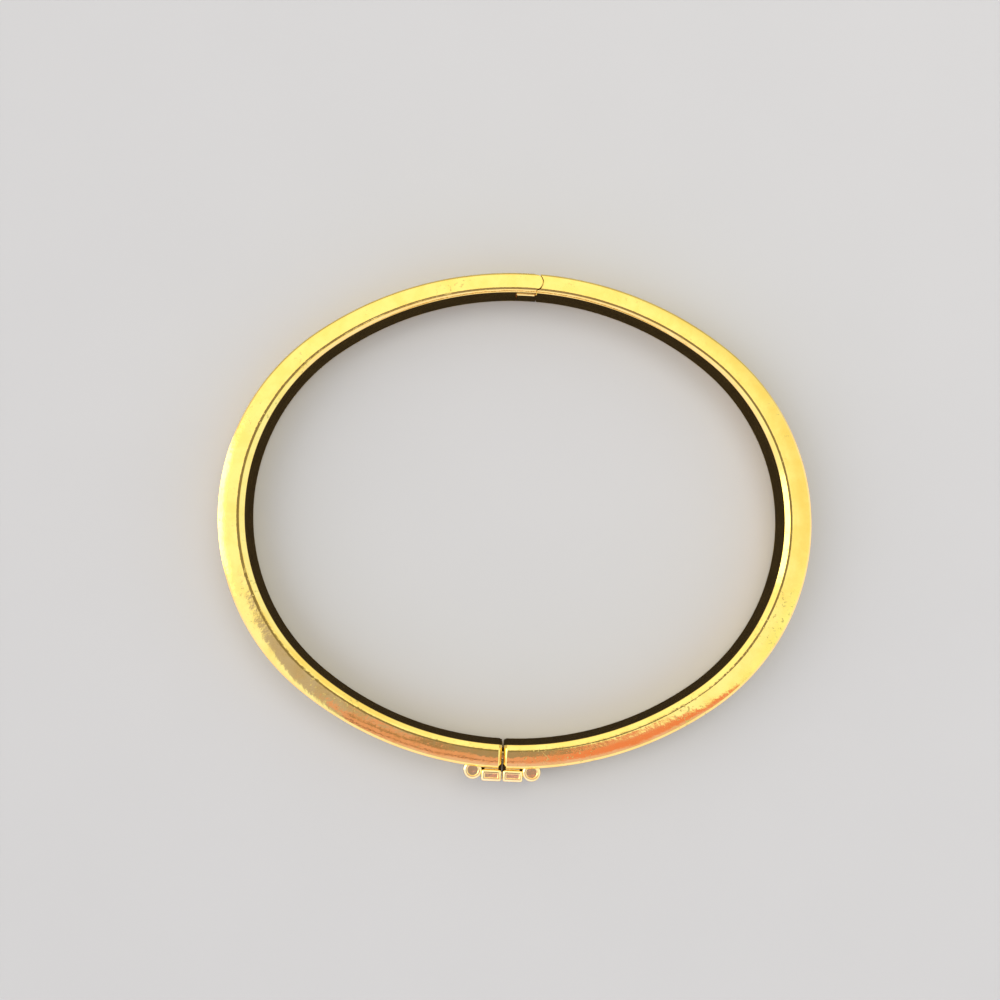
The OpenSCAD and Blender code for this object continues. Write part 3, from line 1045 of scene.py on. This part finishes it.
def world_light(studio):
    """A light tent: bright overhead, with a dark screen round the camera and a window on the left."""
    world = bpy.data.worlds.new("light_tent")
    world.use_nodes = True
    tree = world.node_tree
    tree.nodes.clear()
    way = tree.nodes.new("ShaderNodeTexCoord").outputs["Generated"]
    way = add(tree, "ShaderNodeMapping", {
        "Vector": way, "Rotation": (0, 0, -studio.camera_turn)}).outputs[0]
    parts = add(tree, "ShaderNodeSeparateXYZ", {"Vector": way}).outputs
    x, y, z = parts["X"], parts["Y"], parts["Z"]
    up = sum_up(tree, "MAXIMUM", z, 0.02)
    px = sum_up(tree, "DIVIDE", x, up)
    py = sum_up(tree, "DIVIDE", y, up)

    # Bends the dark bar down on its left
    leftwards = sum_up(tree, "MINIMUM", sum_up(tree, "ADD", px, 0.05), 0.0)
    bent = sum_up(tree, "MULTIPLY_ADD", leftwards, -0.36, py)

    def screen(under, tone, place, half_size, edge=(0.88, 1.06), across=py):
        """Paints an oval screen over the light. Its place and half size are tangents of the angle from
        straight up, and edge is where it starts and ends to fade, as shares of its half size."""
        dx = sum_up(tree, "DIVIDE", sum_up(tree, "SUBTRACT", px, place[0]), half_size[0])
        dy = sum_up(tree, "DIVIDE", sum_up(tree, "SUBTRACT", across, place[1]), half_size[1])
        far = sum_up(tree, "SQRT", sum_up(tree, "MULTIPLY_ADD", dx, dx, times(tree, dy, dy)))
        return blend(tree, between(tree, far, *edge, 1, 0), under, tone)

    # Brightest towards the back
    tent = blend(tree, between(tree, y, -0.3, 0.28), (*studio.sky, 1), BACK)
    # Greener on the right, and yellower there towards the back
    right = blend(tree, between(tree, y, -0.15, 0.02), RIGHT_FRONT, RIGHT_BACK)
    tent = blend(tree, between(tree, x, 0.12, 0.4, 0, 0.8), tent, right)
    # Cool light near the horizon, on the near side and on the right
    low = times(tree, between(tree, z, 0.15, 0.5, 1, 0), between(tree, y, -0.5, 0.1, 1, 0))
    light = blend(tree, low, tent, LOW_FRONT)
    light = blend(tree, between(tree, x, 0.6, 0.8), light, LOW_RIGHT)
    light = screen(light, (*studio.grey, 1), (-0.16, -0.27), (0.17, 0.26))
    # Warm screen, redder on its right and pale on its near side, with a thin dark line across it
    share = times(tree, between(tree, px, 0.0, 0.12), between(tree, py, -0.25, -0.19, 1, 0.35))
    warm = blend(tree, share, (*studio.warm, 1), (*studio.red, 1))
    fore = sum_up(tree, "MULTIPLY_ADD", sum_up(tree, "MAXIMUM", px, 0.0), -0.12, py)
    warm = blend(tree, between(tree, fore, -0.43, -0.38, 1, 0), warm, WARM_FRONT)
    off_line = sum_up(tree, "ABSOLUTE", sum_up(tree, "ADD", py, 0.35))
    line = times(tree, between(tree, off_line, 0.004, 0.016, 1, 0), between(tree, px, 0.0, 0.06, 1, 0))
    warm = blend(tree, line, warm, DARK_LINE)
    light = screen(light, warm, (0.22, -0.4), (0.24, 0.143), (0.94, 1.04))
    light = screen(light, warm, (0.0, -0.34), (0.28, 0.2), (0.94, 1.04))
    # Dark bar and a violet patch beyond it
    light = screen(light, DARK_BAR, (-0.06, -0.2), (0.16, 0.024), across=bent)
    light = screen(light, VIOLET_PATCH, (0.0, -0.17), (0.07, 0.06))
    # Dark screen round the camera
    light = screen(light, (*studio.shade, 1), (-0.04, 0.0), (0.17, 0.14))
    # Window on the left, from high up to below the horizon
    slant = sum_up(tree, "DIVIDE", y, sum_up(tree, "MINIMUM", x, -0.05))
    aside = sum_up(tree, "ABSOLUTE", sum_up(tree, "ADD", slant, 0.1))
    window = times(tree, between(tree, aside, 0.2, 0.34, 1, 0), between(tree, x, -0.3, -0.2, 1, 0))
    window = times(tree, window, between(tree, z, 0.885, 0.925, 1, 0))
    window = times(tree, window, between(tree, z, -0.55, -0.4))
    # Below the horizon: a bright rim, a pale ground, and a dark patch straight below
    rim = blend(tree, between(tree, y, 0.2, 0.7), RIM_FRONT, RIM_BACK)
    ground = blend(tree, between(tree, z, -0.6, -0.4), GROUND, rim)
    ground = blend(tree, between(tree, z, -0.93, -0.82), GROUND_BELOW, ground)
    light = blend(tree, between(tree, z, -0.04, 0.04), ground, light)
    light = blend(tree, window, light, tuple(WINDOW_POWER * c for c in studio.window) + (1,))
    back = add(tree, "ShaderNodeBackground", {"Color": light, "Strength": 1.0})
    out = tree.nodes.new("ShaderNodeOutputWorld")
    tree.links.new(back.outputs[0], out.inputs["Surface"])
    bpy.context.scene.world = world


class BANGLE_OT_stage(bpy.types.Operator):
    """Sets up the floor, the light and the camera."""

    bl_idname = "bangle.stage"
    bl_label = "Set up the stage"

    def execute(self, context):
        scene = context.scene
        studio = scene.bangle_studio
        bpy.ops.object.select_all(action="DESELECT")
        bpy.ops.mesh.primitive_plane_add(size=FLOOR_SIZE, location=(0, 0, 0))
        floor = named("floor")
        material = bpy.data.materials.new("floor_paper")
        material.use_nodes = True
        tree = material.node_tree
        paper = tree.nodes["Principled BSDF"]
        place = tree.nodes.new("ShaderNodeTexCoord").outputs["Object"]
        darker = tuple(c * 0.97 for c in studio.floor)
        tree.links.new(
            blend(tree, noise(tree, place, 60, 3), (*studio.floor, 1), (*darker, 1)),
            paper.inputs["Base Color"])
        paper.inputs["Roughness"].default_value = 0.9
        paper.inputs["Specular IOR Level"].default_value = 0.2
        floor.data.materials.append(material)
        floor.visible_glossy = False
        world_light(studio)

        lamp_data = bpy.data.lights.new("soft_light", "AREA")
        lamp_data.shape = "DISK"
        lamp_data.size = LAMP_SIZE
        lamp_data.energy = LAMP_POWER
        lamp = bpy.data.objects.new("soft_light", lamp_data)
        lamp.location = LAMP_PLACE
        lamp.rotation_euler = (-lamp.location).to_track_quat("-Z", "Y").to_euler()
        lamp.visible_glossy = False
        scene.collection.objects.link(lamp)

        camera_data = bpy.data.cameras.new("camera")
        camera_data.lens = studio.camera_lens
        camera_data.sensor_width = 36
        camera_data.clip_start = 0.001
        camera = bpy.data.objects.new("camera", camera_data)
        camera.location = studio.camera_place
        camera.rotation_euler = (studio.camera_tilt, 0, studio.camera_turn)
        scene.collection.objects.link(camera)
        scene.camera = camera
        scene.view_settings.view_transform = "Standard"
        return {"FINISHED"}


STEPS = (
    BANGLE_OT_halves, BANGLE_OT_flat_bars, BANGLE_OT_round_bars, BANGLE_OT_tongue, BANGLE_OT_pin,
    BANGLE_OT_stage)


class BANGLE_PT_panel(bpy.types.Panel):
    """Lists the steps that make the bangle."""

    bl_idname = "BANGLE_PT_panel"
    bl_label = "Oval hinged bangle"
    bl_space_type = "VIEW_3D"
    bl_region_type = "UI"
    bl_category = "Bangle"

    def draw(self, context):
        for step in STEPS:
            self.layout.operator(step.bl_idname)


CLASSES = (BangleSizes, BangleLooks, BangleStudio, *STEPS, BANGLE_PT_panel)


def register():
    for item in CLASSES:
        bpy.utils.register_class(item)
    bpy.types.Scene.bangle_sizes = bpy.props.PointerProperty(type=BangleSizes)
    bpy.types.Scene.bangle_looks = bpy.props.PointerProperty(type=BangleLooks)
    bpy.types.Scene.bangle_studio = bpy.props.PointerProperty(type=BangleStudio)


def unregister():
    del bpy.types.Scene.bangle_studio
    del bpy.types.Scene.bangle_looks
    del bpy.types.Scene.bangle_sizes
    for item in reversed(CLASSES):
        bpy.utils.unregister_class(item)


def main():
    register()
    bpy.ops.bangle.halves()
    bpy.ops.bangle.flat_bars()
    bpy.ops.bangle.round_bars()
    bpy.ops.bangle.tongue()
    bpy.ops.bangle.pin()
    bpy.ops.bangle.stage()


if __name__ == "__main__":
    main()
